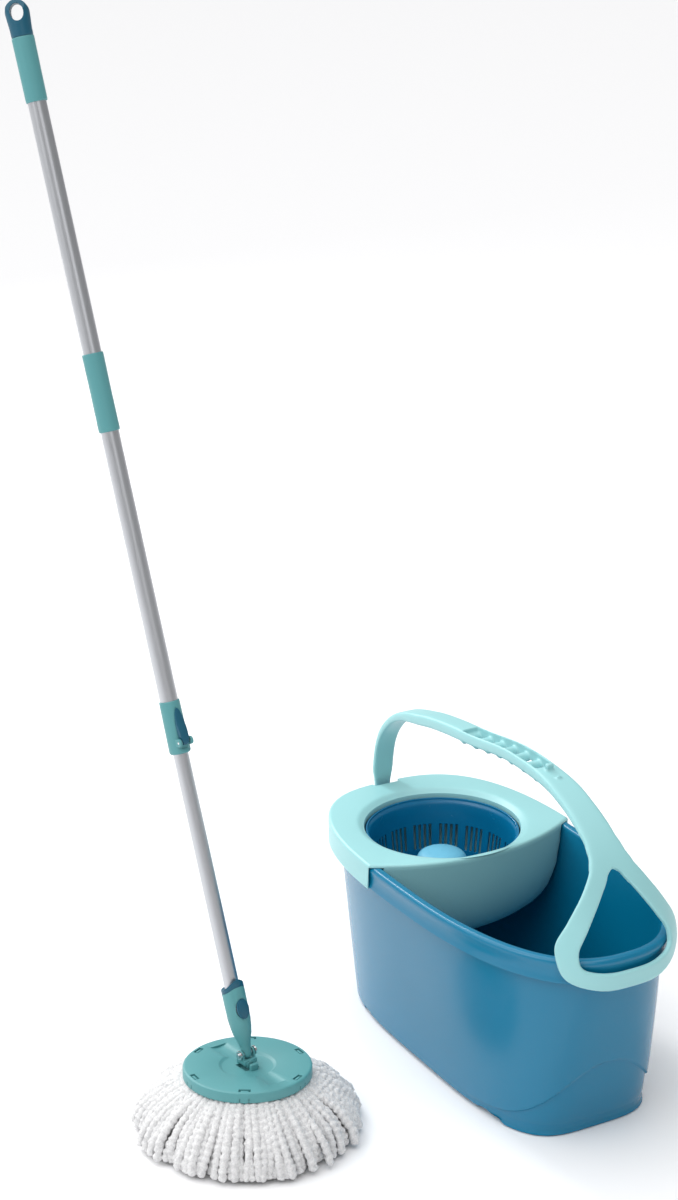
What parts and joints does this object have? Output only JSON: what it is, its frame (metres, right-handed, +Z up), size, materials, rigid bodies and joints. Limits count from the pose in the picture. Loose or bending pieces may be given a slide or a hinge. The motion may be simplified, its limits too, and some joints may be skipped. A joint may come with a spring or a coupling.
{
  "type": "spin mop",
  "caption": "Spin mop set: oval bucket with lift-out spin basket and swing handle, and a telescopic pump-action disc mop with a tilting head.",
  "frame": {"origin": "middle of the set's overall box in plan, on the floor that bucket and strands stand on", "axes": "+Z up; +X along the bucket from its basket end to its pouring end; the mop stands at -Y of the bucket"},
  "size_m": [0.6514, 0.6554, 1.3143],
  "materials": {
    "bucket_blue": "fine satin moulded polypropylene, mid blue",
    "pale_mint": "satin moulded polypropylene, pale mint",
    "mid_mint": "fine matt moulded plastic, mid mint green",
    "deep_blue": "smooth moulded plastic, deep blue",
    "sky_blue": "matt moulded plastic, sky blue",
    "petrol": "matt moulded plastic, dark petrol blue",
    "inner_grey": "plain grey acetal",
    "aluminium": "brushed, satin",
    "steel": "bright plated steel",
    "yarn": "white microfibre cords"
  },
  "bodies": {
    "bucket": {"bucket": "bucket_blue", "handle_pivot_pin": "steel"},
    "insert": {"basket_insert": "pale_mint", "basket_axle": "steel", "thrust_washer": "steel", "axle_clip": "steel"},
    "basket": {"spin_basket": "deep_blue", "basket_hub": "sky_blue", "basket_bush": "inner_grey"},
    "handle": {"bucket_handle": "pale_mint"},
    "head": {"mop_disc": "mid_mint", "strand_ring": "mid_mint", "mop_strands": "yarn", "block_pin": "steel"},
    "block": {"swivel_block": "mid_mint", "swivel_pin": "steel", "pin_washer_left": "steel", "pin_washer_right": "steel"},
    "sleeve": {"handle_sleeve": "mid_mint", "sleeve_collar": "petrol", "button_spring": "steel", "lower_tube": "aluminium"},
    "button": {"release_button": "petrol"},
    "carrier": {"nut_carrier": "inner_grey"},
    "nut": {"spindle_nut": "steel"},
    "upper_stick": {"drive_spindle": "steel", "spindle_anchor": "inner_grey", "main_tube": "aluminium", "lock_housing": "mid_mint", "lever_pin": "steel", "middle_grip": "mid_mint", "tube_joiner": "inner_grey", "upper_tube": "aluminium", "top_grip": "mid_mint", "hang_loop": "petrol"},
    "lever": {"lock_lever": "petrol"}
  },
  "joints": [
    {"name": "insert_lift", "type": "slide", "parent": "bucket", "child": "insert", "axis": [0, 0, 1], "range_m": [0, 0.05]},
    {"name": "basket_spin", "type": "hinge", "parent": "insert", "child": "basket", "pos_m": [-0.10353, 0.17721, 0.2], "axis": [0, 0, 1], "continuous": true},
    {"name": "handle_swing", "type": "hinge", "parent": "bucket", "child": "handle", "pos_m": [-0.26053, 0.17721, 0.238], "axis": [0, -1, 0], "range_deg": [0, 150]},
    {"name": "head_lift", "type": "slide", "parent": "bucket", "child": "head", "axis": [0, 0, 1], "range_m": [0, 0.3]},
    {"name": "block_tilt", "type": "hinge", "parent": "head", "child": "block", "pos_m": [0.05536, -0.19273, 0.087], "axis": [0.9904, 0.1279, 0.0533], "range_deg": [-32, 26]},
    {"name": "stick_tilt", "type": "hinge", "parent": "block", "child": "sleeve", "pos_m": [0.05473, -0.19329, 0.09997], "axis": [-0.1299, 0.9909, 0.0362], "range_deg": [-60, 88]},
    {"name": "button_press", "type": "slide", "parent": "sleeve", "child": "button", "axis": [-0.9479, -0.1134, -0.2978], "range_m": [0, 0.0022], "stiffness_N_per_m": 700, "springref_m": -0.001},
    {"name": "head_spin", "type": "hinge", "parent": "sleeve", "child": "carrier", "pos_m": [-0.08203, -0.22759, 0.54832], "axis": [-0.291, -0.073, 0.9539], "continuous": true},
    {"name": "nut_turn", "type": "hinge", "parent": "carrier", "child": "nut", "pos_m": [-0.08203, -0.22759, 0.54832], "axis": [-0.291, -0.073, 0.9539], "range_deg": [-10, 910]},
    {"name": "pump", "type": "slide", "parent": "carrier", "child": "upper_stick", "axis": [0.291, 0.073, -0.9539], "range_m": [0, 0.15]},
    {"name": "lever_flip", "type": "hinge", "parent": "upper_stick", "child": "lever", "pos_m": [-0.04329, -0.21987, 0.47582], "axis": [-0.1299, 0.9909, 0.0362], "range_deg": [0, 100]}
  ],
  "couplings": [
    {"joint": "nut_turn", "follows": "pump", "rad_per_m": 104.72}
  ]
}
